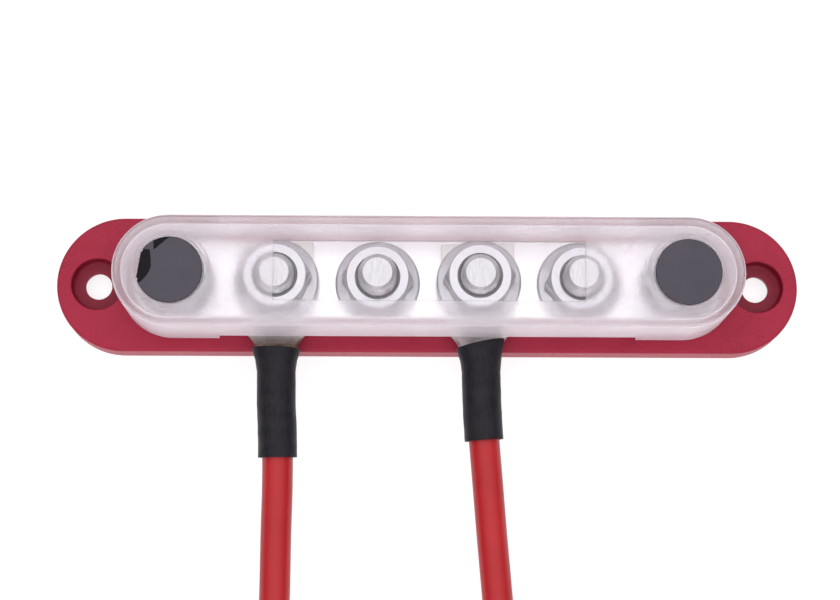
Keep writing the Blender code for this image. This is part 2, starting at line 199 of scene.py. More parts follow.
def addPiece(name, mesh, finishes, body, node, sharp=32):
    # sharp is the angle in degrees from which an edge stays crisp
    finishes = finishes if isinstance(finishes, (list, tuple)) else [finishes]
    mesh.materials.clear()
    for finish in finishes:
        mesh.materials.append(finish)
    mesh.shade_smooth()
    mesh.set_sharp_from_angle(angle=math.radians(sharp))
    piece = placed(name, mesh)
    weighted = piece.modifiers.new("even shading", "WEIGHTED_NORMAL")
    weighted.keep_sharp = True
    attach(piece, body)
    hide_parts(node)
    return piece


# finish tools

def setInputs(node, inputs):
    for key, value in inputs.items():
        node.inputs[key].default_value = value


def addNode(tree, kind, inputs=None, **settings):
    node = tree.nodes.new(kind)
    for key, value in settings.items():
        setattr(node, key, value)
    for key, value in (inputs or {}).items():
        if isinstance(value, bpy.types.NodeSocket):
            tree.links.new(value, node.inputs[key])
        else:
            node.inputs[key].default_value = value
    return node


def newFinish(name, colour, roughness, metallic=0.0, specular=0.5):
    made = bpy.data.materials.new(name)
    made.use_nodes = True
    shader = made.node_tree.nodes["Principled BSDF"]
    setInputs(shader, {"Base Color": (*colour, 1), "Roughness": roughness, "Metallic": metallic,
                       "Specular IOR Level": specular})
    return made, made.node_tree, shader


def objectPlace(tree, stretch=(1, 1, 1)):
    place = addNode(tree, "ShaderNodeTexCoord").outputs["Object"]
    if stretch == (1, 1, 1):
        return place
    return addNode(tree, "ShaderNodeMapping", {"Vector": place, "Scale": stretch}).outputs["Vector"]


def noiseAt(tree, place, scale, detail=3.0, rough=0.55):
    inputs = {"Vector": place, "Scale": scale, "Detail": detail, "Roughness": rough}
    return addNode(tree, "ShaderNodeTexNoise", inputs).outputs["Fac"]


def between(tree, amount, low, high, fromLow=0.3, fromHigh=0.7):
    # low and high are what comes out when the amount is at fromLow and fromHigh
    inputs = {"Value": amount, "From Min": fromLow, "From Max": fromHigh, "To Min": low, "To Max": high}
    return addNode(tree, "ShaderNodeMapRange", inputs).outputs["Result"]


def tinted(tree, amount, colours, stops=(0.3, 0.7)):
    ramp = addNode(tree, "ShaderNodeValToRGB", {"Fac": amount})
    for element, colour, stop in zip(ramp.color_ramp.elements, colours, stops):
        element.color, element.position = (*colour, 1), stop
    return ramp.outputs["Color"]


def coloured(tree, shader, amount, colours, stops=(0.3, 0.7)):
    tree.links.new(tinted(tree, amount, colours, stops), shader.inputs["Base Color"])


def roughened(tree, shader, amount, low, high):
    tree.links.new(between(tree, amount, low, high), shader.inputs["Roughness"])


def bumped(tree, shader, height, depth, strength=1.0):
    bump = addNode(tree, "ShaderNodeBump", {"Height": height, "Distance": depth, "Strength": strength})
    tree.links.new(bump.outputs["Normal"], shader.inputs["Normal"])


def added(tree, one, two, share):
    # one plus a share of two
    inputs = {0: two, 1: share, 2: one}
    return addNode(tree, "ShaderNodeMath", inputs, operation="MULTIPLY_ADD").outputs[0]


# leads

leadSizes = {
    "diameter": 0.0078,
    "length": 0.415,
    "coilY": -0.1335,
    "coilRadius": 0.044,
    "coilSpacing": 0.008,
    "coilTurns": 1.21,
    "axisHeight": 0.0054,  # of the turns on the table
    "topHeight": 0.01465,  # where the end lies on the turns
    "climb": 0.070,
    "tail": 0.0145,  # straight end inside the far sleeve
    "leadIn": 0.006,  # short of the coil's widest line
    "step": 0.003,
}
leadRoutes = {
    "left": ((-0.0386, -0.0313, 0.01305), (-0.0382, -0.0400, 0.01270), (-0.0381, -0.0520, 0.01160),
             (-0.0384, -0.0650, 0.00985), (-0.0386, -0.0790, 0.00800), (-0.0390, -0.0920, 0.00655),
             (-0.0395, -0.1040, 0.00575), (-0.0396, -0.1150, 0.00535)),
    "right": ((0.0137, -0.0313, 0.01305), (0.0142, -0.0400, 0.01275), (0.0152, -0.0520, 0.01170),
              (0.0163, -0.0650, 0.00995), (0.0176, -0.0790, 0.00810), (0.0187, -0.0920, 0.00660),
              (0.0194, -0.1040, 0.00578), (0.0197, -0.1150, 0.00535)),
}


def smoothLine(points, step):
    # a curve through every point
    knots = [Vector(p) for p in points]
    ends = [2 * knots[0] - knots[1]] + knots + [2 * knots[-1] - knots[-2]]
    line = []
    for a, b, c, d in zip(ends, ends[1:], ends[2:], ends[3:]):
        parts = max(1, round((c - b).length / step))
        for i in range(parts):
            t = i / parts
            line.append(0.5 * (2 * b + (c - a) * t + (2 * a - 5 * b + 4 * c - d) * t * t
                               + (3 * b - a - 3 * c + d) * t ** 3))
    return line + [knots[-1]]


def coilLine(side, lastX):
    # turns that wind inwards, and climb onto themselves near the end
    sizes = leadSizes
    centre = Vector((lastX + side * sizes["coilRadius"], sizes["coilY"], 0))
    turn = 2 * math.pi * sizes["coilTurns"]
    steps = 44

    def pointAt(angle):
        radius = sizes["coilRadius"] - sizes["coilSpacing"] * angle / (2 * math.pi)
        return centre + Vector((-side * math.cos(angle), -math.sin(angle), 0)) * radius
    flat = [pointAt(turn * i / steps) for i in range(steps + 1)]
    run = [0.0]
    for one, two in zip(flat, flat[1:]):
        run.append(run[-1] + (two - one).length)
    for point, gone in zip(flat, run):
        share = min(1, max(0, 1 - (run[-1] - gone) / sizes["climb"]))
        rise = share * share * (3 - 2 * share)
        point.z = sizes["axisHeight"] + (sizes["topHeight"] - sizes["axisHeight"]) * rise
    ahead = (pointAt(turn) - pointAt(turn - 0.01)).normalized()
    end = flat[-1] + ahead * sizes["tail"]
    return flat + [flat[-1].lerp(end, 0.5), end], ahead


def cableJacket():
    made, tree, shader = newFinish("cableJacket", (0.66, 0.012, 0.017), 0.32, specular=0.42)
    place = objectPlace(tree)
    patches = noiseAt(tree, place, 90, 4)
    coloured(tree, shader, patches, ((0.40, 0.0055, 0.008), (0.47, 0.009, 0.013)))
    fine = noiseAt(tree, place, 2600, 2)
    roughened(tree, shader, fine, 0.36, 0.46)
    bumped(tree, shader, added(tree, fine, noiseAt(tree, place, 420, 3), 1.5), 0.00002, 0.5)
    return made


def addLead(name, side, jacket):
    route = leadRoutes[name]
    turns, ahead = coilLine(side, route[-1][0])
    coilStart = (route[-1][0], leadSizes["coilY"] + leadSizes["leadIn"], leadSizes["axisHeight"])
    line = smoothLine([*route, coilStart], leadSizes["step"]) + turns
    curve = bpy.data.curves.new(f"lead_{name}", "CURVE")
    curve.dimensions = "3D"
    curve.bevel_depth = leadSizes["diameter"] / 2
    curve.bevel_resolution = 6
    curve.use_fill_caps = True
    spline = curve.splines.new("POLY")
    spline.points.add(len(line) - 1)
    for target, point in zip(spline.points, line):
        target.co = (*point, 1)
    spline.use_smooth = True
    curve.materials.append(jacket)
    lead = placed(f"lead_{name}", curve)
    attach(lead, "root")
    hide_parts(f"cable_{name}", f"cable_{name}_coil", f"cable_{name}_end")
    return lead, line, ahead


jacket = cableJacket()
leads = {name: addLead(name, side, jacket) for name, side in bothSides}
print("leads laid")


# heat-shrink sleeves

sleeveSizes = {
    "radius": 0.00495,
    "wall": 0.00060,
    "flare": ((0.0235, 0.00495, 0.00495), (0.0205, 0.00535, 0.00505), (0.0190, 0.0058, 0.00510),
              (0.0176, 0.0062, 0.0051)),  # from the lug's hole: half width, half height
    "ends": {"left": 0.0453, "right": 0.0408},
    "slant": {"left": 0.0002, "right": -0.00095},
    "reachOn": {"left": 0.0, "right": 0.0015},
    "slantReach": 0.006,
    "ripple": 0.00007,
    "rippleScale": (260, 420, 260),
    "step": 0.0007,
}


def heatShrink():
    made, tree, shader = newFinish("heatShrink", (0.014, 0.013, 0.0165), 0.42, specular=0.14)
    place = objectPlace(tree)
    streaks = noiseAt(tree, objectPlace(tree, (1, 0.3, 1)), 1300, 3)
    crinkles = noiseAt(tree, objectPlace(tree, (0.35, 1, 0.35)), 420, 4)
    roughened(tree, shader, noiseAt(tree, place, 160, 4), 0.34, 0.52)
    shades = (0.0115, 0.0105, 0.0140), (0.019, 0.0175, 0.022)
    coloured(tree, shader, added(tree, streaks, crinkles, 0.8), shades, (0.65, 1.1))
    bumped(tree, shader, added(tree, streaks, crinkles, 1.6), 0.00005, 0.7)
    return made


def tubeMesh(stations, wall, sides=48):
    # stations are (place, half width, half height); the tube is open at both ends
    form = bmesh.new()
    outside, inside = [], []
    for index, (place, halfWidth, halfHeight) in enumerate(stations):
        before = stations[max(index - 1, 0)][0]
        after = stations[min(index + 1, len(stations) - 1)][0]
        forward = (after - before).normalized()
        across = forward.cross(Vector((0, 0, 1))).normalized()
        up = across.cross(forward)
        for rows, less in ((outside, 0), (inside, wall)):
            row = []
            for i in range(sides):
                angle = 2 * math.pi * i / sides
                row.append(form.verts.new(place + across * (halfWidth - less) * math.cos(angle)
                                          + up * (halfHeight - less) * math.sin(angle)))
            rows.append(row)
    skinned(form, outside + inside[::-1], closed=True)
    return meshFrom(form)


def sleeveMesh(cover, hole, seed, slant=0.0, reachOn=0.0):
    # cover is the line under the sleeve, from the sleeve's end on the lead to the barrel
    barrel = cover[-1]
    along = Vector((hole.x - barrel.x, hole.y - barrel.y, 0)).normalized()
    radius = sleeveSizes["radius"]
    points = [(place, radius, radius) for place in cover]
    points += [(hole - along * distance, width, height) for distance, width, height in sleeveSizes["flare"]]
    fine = []
    for one, two in zip(points, points[1:]):
        parts = max(1, round((two[0] - one[0]).length / sleeveSizes["step"]))
        for i in range(parts):
            t = i / parts
            halves = [a + (b - a) * t for a, b in zip(one[1:], two[1:])]
            fine.append((one[0].lerp(two[0], t), *halves))
    fine.append(points[-1])
    mesh = tubeMesh(fine, sleeveSizes["wall"])
    scaleX, scaleY, scaleZ = sleeveSizes["rippleScale"]
    for vertex in mesh.vertices:  # shrunk film is never quite even
        x, y, z = vertex.co
        wave = noise.noise(Vector((x * scaleX, y * scaleY + seed, z * scaleZ)))
        nearest = min((p[0] for p in fine[::3]), key=lambda p: (p - vertex.co).length_squared)
        out = (vertex.co - nearest).normalized()
        vertex.co += out * wave * sleeveSizes["ripple"]
    end = fine[-1][0]
    across = along.cross(Vector((0, 0, 1)))
    for vertex in mesh.vertices:  # its end on the lug was cut a little askew
        back = (end - vertex.co).dot(along)
        share = max(0, 1 - back / sleeveSizes["slantReach"]) ** 1.5
        askew = (vertex.co - end).dot(across) / sleeveSizes["radius"] * slant
        vertex.co += along * (reachOn - askew) * share
    return mesh


shrinkFilm = heatShrink()


def coveredLine(name, line):
    # the part of a lead's line that its near sleeve covers
    limit = sleeveSizes["ends"][name]
    kept = [p for p in line if -p.y < limit]
    beyond = line[len(kept)]
    share = (limit + kept[-1].y) / (kept[-1].y - beyond.y)
    return (kept + [kept[-1].lerp(beyond, share)])[::-1]


# lugs

lugSizes = {
    "sections": (  # from the hole: half width, thickness, how square
        (-0.0103, 0.0094, 0.0023, 1.0), (0.0120, 0.0094, 0.0023, 1.0), (0.0132, 0.0079, 0.0024, 0.8),
        (0.0143, 0.0069, 0.0028, 0.6), (0.0158, 0.00595, 0.0044, 0.3), (0.0174, 0.0052, 0.0060, 0.1),
        (0.0194, 0.0044, 0.0073, 0.0), (0.0215, 0.00395, 0.0079, 0.0), (0.0310, 0.00395, 0.0079, 0.0)),
    "palmEnd": 0.011,
    "step": 0.0006,
    "hole": 0.0106,
    "lip": 0.0003,
    "leadGap": 0.0003,
}


def lugMetal(name, neckColours, neckShare=1.0):
    # the neck under the sleeve is more tarnished than the palm
    made, tree, shader = newFinish(name, (0.72, 0.68, 0.62), 0.30, 1.0)
    place = objectPlace(tree)
    patches = noiseAt(tree, place, 260, 4)
    palm = tinted(tree, patches, ((0.64, 0.62, 0.585), (0.71, 0.69, 0.66)))
    neck = tinted(tree, patches, neckColours, (0.35, 0.62))
    towardsLead = addNode(tree, "ShaderNodeSeparateXYZ", {"Vector": place}).outputs["Y"]
    tarnish = between(tree, towardsLead, neckShare, 0.0, -0.0165, -0.0135)
    mixed = addNode(tree, "ShaderNodeMix", {"Factor": tarnish}, data_type="RGBA")
    tree.links.new(palm, mixed.inputs["A"])
    tree.links.new(neck, mixed.inputs["B"])
    tree.links.new(mixed.outputs["Result"], shader.inputs["Base Color"])
    fine = noiseAt(tree, place, 1800, 3)
    roughened(tree, shader, fine, 0.28, 0.40)
    bumped(tree, shader, added(tree, fine, patches, 2.0), 0.00002, 0.3)
    return made


def lugMesh():
    sections = lugSizes["sections"]
    sides = 56
    form = bmesh.new()
    rows = []
    stations = []
    for one, two in zip(sections, sections[1:]):
        onNeck = one[0] > lugSizes["palmEnd"]
        parts = max(1, round((two[0] - one[0]) / lugSizes["step"])) if onNeck else 1
        for i in range(parts):
            t = i / parts
            stations.append([a + (b - a) * t for a, b in zip(one, two)])
    stations.append(list(sections[-1]))
    for _ in range(3):  # evens out the kinks between the sections
        middleOnes = [[(a + 2 * b + c) / 4 for a, b, c in zip(*trio)]
                      for trio in zip(stations[1:], stations[2:], stations[3:])]
        stations = stations[:2] + middleOnes + stations[-1:]
    for distance, halfWidth, thickness, square in stations:
        row = []
        for i in range(sides):
            angle = 2 * math.pi * (i + 0.5) / sides
            x, z = math.cos(angle), math.sin(angle)
            grow = 1 + square * (1 / max(abs(x), abs(z)) - 1)
            row.append(form.verts.new((halfWidth * x * grow, -distance, thickness / 2 * (1 + z * grow))))
        rows.append(row)
    skinned(form, rows)
    form.faces.new(rows[0])
    form.faces.new(rows[-1])
    body = meshFrom(form)
    radius, lip, top = lugSizes["hole"] / 2, lugSizes["lip"], sections[0][2]
    cutter = turnedMesh([(-0.001, radius + lip), (0, radius + lip), (lip, radius), (top - lip, radius),
                         (top, radius + lip), (0.004, radius + lip)], 64)
    return carved(body, ("DIFFERENCE", cutter))


def addLugAndSleeve(names, place, turn, metal, cover, seed, slant=0.0, reachOn=0.0):
    # names are the lug's piece and node, and then the sleeve's
    lugPiece, lugNode, sleevePiece, sleeveNode = names
    lug = addPiece(lugPiece, moved(lugShape, place, Matrix.Rotation(turn, 4, "Z")), metal,
                   "root", lugNode)
    axis = place + Vector((0, 0, lugSizes["sections"][-1][2] / 2))
    sleeve = addPiece(sleevePiece, sleeveMesh(cover, axis, seed, slant, reachOn), shrinkFilm,
                      "root", sleeveNode)
    return [lug, sleeve]


def addLugs():
    metals = {"left": lugMetal("lugMetalDull", ((0.12, 0.082, 0.050), (0.40, 0.335, 0.27))),
              "right": lugMetal("lugMetal", ((0.36, 0.33, 0.33), (0.64, 0.61, 0.62))),
              "end": lugMetal("lugMetalNew", ((0.50, 0.47, 0.45), (0.64, 0.61, 0.60)), 0.0)}
    studs = {"left": "stud_1", "right": "stud_3"}
    for name, side in bothSides:
        _, line, ahead = leads[name]
        near = middle(studs[name])
        near.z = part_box(f"lug_{name}")[0].z
        toHole = near - line[0]
        names = f"lug_near_{name}", f"lug_{name}", f"shrink_near_{name}", f"sleeve_{name}"
        fittings = addLugAndSleeve(names, near, math.atan2(-toHole.x, toHole.y), metals[name],
                                   coveredLine(name, line), side,
                                   sleeveSizes["slant"][name], sleeveSizes["reachOn"][name])
        far = line[-1] + ahead * (lugSizes["sections"][-1][0] + lugSizes["leadGap"])
        far.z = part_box(f"lug_far_{name}")[0].z
        tail = ahead * leadSizes["tail"]
        names = f"lug_end_{name}", f"lug_far_{name}", f"shrink_end_{name}", f"sleeve_far_{name}"
        fittings += addLugAndSleeve(names, far, math.atan2(-ahead.x, ahead.y), metals["end"],
                                    [line[-1] - tail, line[-1] - tail / 2, line[-1]], side * 3)
        leads[name] = (*leads[name], fittings)


lugShape = lugMesh()
addLugs()
print("lugs and sleeves")


# cable ties round the coils

tieSizes = {
    "angle": math.radians(38),
    "thickness": 0.0011,
    "width": 0.0045,
    "clearance": 0.00015,
    "head": (0.0052, 0.0062, 0.0034),
    "headCorner": 0.0008,
    "headEdge": 0.0005,
    "tail": (0.0016, 0.85),  # thickness, and share of the band's width
    "tailRise": 0.0016,
}


def tieNylon():
    made, tree, shader = newFinish("tieNylon", (0.016, 0.016, 0.017), 0.42)
    place = objectPlace(tree)
    fine = noiseAt(tree, place, 2200, 3)
    roughened(tree, shader, fine, 0.34, 0.52)
    bumped(tree, shader, fine, 0.00003, 0.5)
    return made


def roundedLoop(width, height, corner, steps=8):
    points = []
    for x, y, start in ((1, 1, 0), (-1, 1, 90), (-1, -1, 180), (1, -1, 270)):
        for i in range(steps + 1):
            angle = math.radians(start + 90 * i / steps)
            points.append((x * (width / 2 - corner) + corner * math.cos(angle),
                           y * (height / 2 - corner) + corner * math.sin(angle)))
    return points


def loopRound(centres, radius, steps=56):
    # a tight loop round the turns, whose centres are (outwards, height)
    points = []
    for i in range(steps):
        angle = 2 * math.pi * i / steps
        out, up = math.cos(angle), math.sin(angle)
        x, z = max(centres, key=lambda c: c[0] * out + c[1] * up)
        points.append((x + radius * out, z + radius * up))
    return points


def tieMesh(centres):
    # a band in the XZ plane whose width lies along Y, with its ratchet head and cut tail on top
    form = bmesh.new()
    band, thick, clear = tieSizes["width"], tieSizes["thickness"], tieSizes["clearance"]
    inner = loopRound(centres, leadSizes["diameter"] / 2 + clear)
    outer = loopRound(centres, leadSizes["diameter"] / 2 + clear + thick)
    rows = []
    for loop, y in ((outer, -band / 2), (outer, band / 2), (inner, band / 2), (inner, -band / 2)):
        rows.append([form.verts.new((x, y, z)) for x, z in loop])
    skinned(form, rows, closed=True)
    ringMesh = meshFrom(form)
    (lowX, lowZ), (highX, highZ) = sorted(centres, key=lambda c: c[1])
    headX, headY, headZ = tieSizes["head"]
    across = Vector((lowX - highX, 0, lowZ - highZ)).normalized()
    normal = Vector((-across.z, 0, across.x))
    if normal.z < 0:
        normal = -normal
    seat = Vector(((lowX + highX) / 2, 0, (lowZ + highZ) / 2)) + normal * (leadSizes["diameter"] / 2 + clear)
    head = slabMesh(roundedLoop(headX, headY, tieSizes["headCorner"], 4), 0.0001, headZ)
    head = softenedAt(head, headZ, tieSizes["headEdge"], 3)
    tailX, tailShare = tieSizes["tail"]
    tail = slabMesh(rectangle(tailX, band * tailShare), 0.0002, headZ + tieSizes["tailRise"])
    tail = moved(tail, (0.0006, 0, 0))
    turn = Vector((0, 0, 1)).rotation_difference(normal).to_matrix().to_4x4()
    return carved(ringMesh, ("UNION", moved(head, seat, turn)), ("UNION", moved(tail, seat, turn)))


def addTies():
    nylon = tieNylon()
    angle = tieSizes["angle"]
    for name, side in bothSides:
        line = leads[name][1]
        centre = Vector((leadRoutes[name][-1][0] + side * leadSizes["coilRadius"], leadSizes["coilY"], 0))
        out = Vector((-side * math.cos(angle), -math.sin(angle), 0))
        along = Vector((-out.y, out.x, 0))
        turns = []
        for one, two in zip(line, line[1:]):  # where the lead crosses the tie's plane
            before, after = (one - centre).dot(along), (two - centre).dot(along)
            if before * after <= 0 and before != after and (one - centre).dot(out) > 0:
                cross = one.lerp(two, before / (before - after)) - centre
                turns.append((cross.dot(out), cross.z))
        mesh = moved(tieMesh(turns), centre, Matrix.Rotation(math.atan2(out.y, out.x), 4, "Z"))
        tie = addPiece(f"coil_tie_{name}", mesh, nylon, "root", f"tie_{name}")
        leads[name][3].append(tie)


addTies()


# moulded base

baseSizes = {
    "edge": 0.0009,
    "mountPitch": 0.171,
    "mountHole": 0.0068,
    "counterbore": 0.0134,
    "counterboreFloor": 0.004,
    "counterboreFillet": 0.0011,
    "holeDraft": 0.0008,
    "lip": 0.00035,
    "recessTop": 0.01,
    "hexPocket": 0.016,
    "insertWell": 0.0041,
    "pocketFloor": 0.001,
    "pocketTop": 0.006,
}
barLow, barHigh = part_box("bus_bar")
gap = 0.0003


def hexRadius(acrossFlats, cornerLimit=None):
    def radiusAt(angle):
        toFlat = (angle + math.pi / 6) % (math.pi / 3) - math.pi / 6
        reach = acrossFlats / 2 / math.cos(math.pi / 6 - abs(toFlat))
        return min(reach, cornerLimit) if cornerLimit else reach
    return radiusAt


def crimsonPlastic(name, low, high):
    made, tree, shader = newFinish(name, high, 0.40, specular=0.24)
    place = objectPlace(tree)
    clouds = noiseAt(tree, place, 70, 5, 0.6)
    grain = noiseAt(tree, place, 1500, 3, 0.65)
    mixed = added(tree, grain, clouds, 1.0)
    coloured(tree, shader, mixed, (low, high), (0.70, 1.35))
    roughened(tree, shader, grain, 0.34, 0.52)
    bumped(tree, shader, grain, 0.00006, 0.8)
    return made


def baseMesh():
    low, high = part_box("base")
    sizes = baseSizes
    body = slabMesh(stadium(high.x - low.x, high.y - low.y, 64), low.z, high.z)
    body = softenedAt(body, high.z, sizes["edge"], 6)
    body = softenedAt(body, low.z, sizes["edge"] / 6, 2)
    recessShape = stadium(barHigh.x - barLow.x + 2 * gap, barHigh.y - barLow.y + 2 * gap)
    steps = [("DIFFERENCE", slabMesh(recessShape, barLow.z - gap, sizes["recessTop"]))]
    hexagon = hexRadius(sizes["hexPocket"] + 2 * gap)
    pocket = turnedMesh([(sizes["pocketFloor"], hexagon), (sizes["pocketTop"], hexagon)], 48)
    steps += [("DIFFERENCE", above(node, pocket)) for node in studNodes]
    top, lip, radius = high.z, sizes["lip"], sizes["counterbore"] / 2
    fillet = sizes["counterboreFillet"]
    rows = arc(sizes["counterboreFloor"] + fillet, radius - fillet, fillet, -90, 0, 8)
    rows += [(top - lip + lip * math.sin(a), radius + lip - lip * math.cos(a))
             for a in (math.radians(d) for d in (0, 22, 45, 68, 90))]
    counterbore = turnedMesh(rows + [(top + 0.002, radius + lip)], 96)
    hole, floor = sizes["mountHole"] / 2, sizes["counterboreFloor"]
    rows = [(-0.001, hole + sizes["holeDraft"]), (floor - 0.0008, hole), (floor + 0.0003, hole)]
    bolt = turnedMesh(rows, 72)
    for name, side in bothSides:
        place = (side * sizes["mountPitch"] / 2, 0, 0)
        steps += [("DIFFERENCE", moved(counterbore, place)), ("DIFFERENCE", moved(bolt, place))]
        rows = [(sizes["pocketFloor"], sizes["insertWell"]), (sizes["pocketTop"], sizes["insertWell"])]
        well = turnedMesh(rows, 48)
        steps.append(("DIFFERENCE", above(f"insert_{name}", well)))
    return carved(body, *steps)


def addBase():
    # the counterbores take a darker copy of the crimson: painted shade in the recesses
    finishes = [crimsonPlastic("crimsonPlastic", (0.285, 0.008, 0.027), (0.375, 0.015, 0.045)),
                crimsonPlastic("crimsonRecessShade", (0.19, 0.006, 0.019), (0.25, 0.011, 0.031))]
    base = addPiece("moulded_base", baseMesh(), finishes, "root", "base")
    reach, top = baseSizes["mountPitch"] / 2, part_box("base")[1].z
    # faces below the top inside each counterbore get the painted-shade copy
    for face in base.data.polygons:
        away = math.hypot(abs(face.center.x) - reach, face.center.y)
        if away < baseSizes["counterbore"] / 2 + 0.0001 and face.center.z < top - 0.0004:
            face.material_index = 1


addBase()
print("base")


# plated bar

barSizes = {"edge": 0.0004, "studHole": 0.0106, "postHole": 0.0056, "lip": 0.0002}


def tinnedBar():
    made, tree, shader = newFinish("tinnedBar", (0.80, 0.79, 0.79), 0.36, 1.0)
    place = objectPlace(tree)
    brushed = noiseAt(tree, objectPlace(tree, (0.05, 1, 1)), 2400, 3)
    clouds = noiseAt(tree, place, 120, 4)
    coloured(tree, shader, clouds, ((0.90, 0.885, 0.885), (0.95, 0.94, 0.94)))
    roughened(tree, shader, clouds, 0.28, 0.38)
    bumped(tree, shader, brushed, 0.00002, 0.6)
    return made


def barMesh():
    sizes = barSizes
    body = slabMesh(stadium(barHigh.x - barLow.x, barHigh.y - barLow.y, 48), barLow.z, barHigh.z)
    body = softenedAt(body, barHigh.z, sizes["edge"], 4)
    holes = [(node, "studHole") for node in studNodes]
    holes += [(f"post_{name}", "postHole") for name, _ in bothSides]
    steps = []
    for node, width in holes:
        radius, lip = sizes[width] / 2, sizes["lip"]
        rows = [(barLow.z - 0.001, radius), (barHigh.z - lip, radius), (barHigh.z + lip, radius + 2 * lip)]
        steps.append(("DIFFERENCE", above(node, turnedMesh(rows, 64))))
    return carved(body, *steps)


addPiece("tinned_bar", barMesh(), tinnedBar(), "root", "bus_bar")
print("bar")


# studs and nuts

threadSizes = {"pitch": 0.0015, "depth": 0.00085, "sides": 96}
studSizes = {"crest": 0.0049, "tip": 0.0037, "headChamfer": 0.0078}
nutSizes = {
    "acrossFlats": 0.016,
    "corner": 0.00910,
    "bore": 0.0052,
    "mouth": 0.0058,
    "flangeEdge": 0.0015,
    "flangeProfile": ((0, -0.0004), (0.00015, -0.0001), (0.0004, 0), (0.0010, 0),
                      (0.00122, -0.00006), (0.00138, -0.00025)),  # height, and step in from the edge
    "coneTop": 0.00238,
    "chamfer": 0.0012,
    "chamferTop": 0.0078,
    "boreThread": 0.0005,
}


def zincSteel():
    made, tree, shader = newFinish("zincSteel", (0.62, 0.62, 0.635), 0.28, 1.0)
    place = objectPlace(tree)
    clouds = noiseAt(tree, place, 320, 4)
    fine = noiseAt(tree, place, 2600, 3)
    coloured(tree, shader, clouds, ((0.60, 0.59, 0.61), (0.64, 0.63, 0.65)))
    roughened(tree, shader, fine, 0.27, 0.31)
    bumped(tree, shader, fine, 0.000004, 0.1)
    return made


def brushedSteel():
    made, tree, shader = newFinish("brushedSteel", (0.60, 0.60, 0.61), 0.34, 1.0)
    inputs = {"Vector": objectPlace(tree), "Rotation": (0, 0, 0.5), "Scale": (1, 0.14, 1)}
    turned = addNode(tree, "ShaderNodeMapping", inputs).outputs["Vector"]
    marks = noiseAt(tree, turned, 2400, 4, 0.7)
    coloured(tree, shader, marks, ((0.52, 0.515, 0.52), (0.68, 0.675, 0.68)), (0.36, 0.60))
    roughened(tree, shader, marks, 0.28, 0.42)
    bumped(tree, shader, marks, 0.00003, 0.6)
    return made


def threadRadius(height, crest, depth=None):
    pitch, depth = threadSizes["pitch"], depth or threadSizes["depth"]

    def radiusAt(angle):
        phase = (height / pitch - angle / (2 * math.pi)) % 1
        groove = abs(2 * phase - 1)
        return crest - depth * (1 - min(1, max(0, groove * 1.25 - 0.12)))
    return radiusAt


def cappedRadius(inner, limit):
    return lambda angle: min(inner(angle), limit)


def studMesh(node):
    low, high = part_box(node)
    crest, tip = studSizes["crest"], studSizes["tip"]
    headTop = barLow.z - gap
    head = hexRadius(nutSizes["acrossFlats"], nutSizes["corner"])
    rows = [(low.z, studSizes["headChamfer"]), (low.z + 0.0005, head), (headTop, head), (headTop, crest)]
    start = barHigh.z - 0.0004
    rows.append((start, crest))
    steps = round((high.z - start) / threadSizes["pitch"] * 9)
    for i in range(1, steps + 1):
        height = start + (high.z - start) * i / steps
        chamfer = tip + (high.z - height)
        rows.append((height, cappedRadius(threadRadius(height, crest), chamfer)))
    rows.append((high.z, tip - 0.0003))
    return turnedMesh(rows, threadSizes["sides"])


def nutMesh(height):
    sizes = nutSizes
    flange = (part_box("nut_2")[1].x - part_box("nut_2")[0].x) / 2
    hexagon = hexRadius(sizes["acrossFlats"], sizes["corner"])
    flat = sizes["acrossFlats"] / 2
    rows = [(level, flange + step) for level, step in sizes["flangeProfile"]]
    coneSteps = 9
    for i in range(coneSteps + 1):
        share = i / coneSteps
        cone = flange - 0.0005 + (flat + 0.00015 - flange + 0.0005) * share ** 0.92
        level = sizes["flangeEdge"] + (sizes["coneTop"] - sizes["flangeEdge"]) * share
        rows.append((level, lambda a, c=cone: max(c, hexagon(a)) if c > flat else hexagon(a)))
    chamferSteps = 9
    bottom = height - sizes["chamfer"]
    for i in range(chamferSteps + 1):
        share = i / chamferSteps
        limit = sizes["corner"] + (sizes["chamferTop"] - sizes["corner"]) * share
        rows.append((bottom + (height - bottom) * share, cappedRadius(hexagon, limit)))
    rows += [(height, sizes["mouth"]), (height - 0.0006, sizes["bore"])]
    turns = 60
    for i in range(1, turns):
        level = (height - 0.0006) * (1 - i / turns)
        thread = threadRadius(level, sizes["bore"], sizes["boreThread"])
        rows.append((level, lambda a, thread=thread: 2 * sizes["bore"] - thread(a)))
    rows.append((0, sizes["mouth"]))
    return turnedMesh(rows, threadSizes["sides"], hollow=True)


def addStudsAndNuts(steel):
    brushed = brushedSteel()
    turns = (0.10, -0.06, 0.04, 0.16)  # as the spanner left them
    for number, turn in enumerate(turns, 1):
        stud = f"stud_{number}"
        low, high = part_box(f"nut_{number}")
        addPiece(f"threaded_stud_{number}", above(stud, studMesh(stud)), brushed,
                 "root", stud, sharp=28)
        nut = above(stud, nutMesh(high.z - low.z), low.z, Matrix.Rotation(turn, 4, "Z"))
        addPiece(f"flange_nut_{number}", nut, steel,
                 f"nut_{number}", f"nut_{number}", sharp=28)


steel = zincSteel()
addStudsAndNuts(steel)
print("studs and nuts")


# end posts, inserts and the cover's screws

postSizes = {
    "acrossFlats": 0.016,
    "corner": 0.0091,
    "chamferTop": 0.0078,
    "flange": 0.010,
    "flangeHeight": 0.0011,
    "stem": 0.0024,
    "bore": 0.00225,
    "boreBottom": 0.0120,
}
screwSizes = {
    "head": 0.0038,
    "headHeight": 0.0025,
    "shank": 0.00195,
    "thread": 0.0004,
    "pitch": 0.0007,
    "cross": (0.0044, 0.0009),
    "crossDepth": 0.0013,
}
insertSizes = {"bore": 0.0027, "knurls": 30, "knurlDepth": 0.0003}


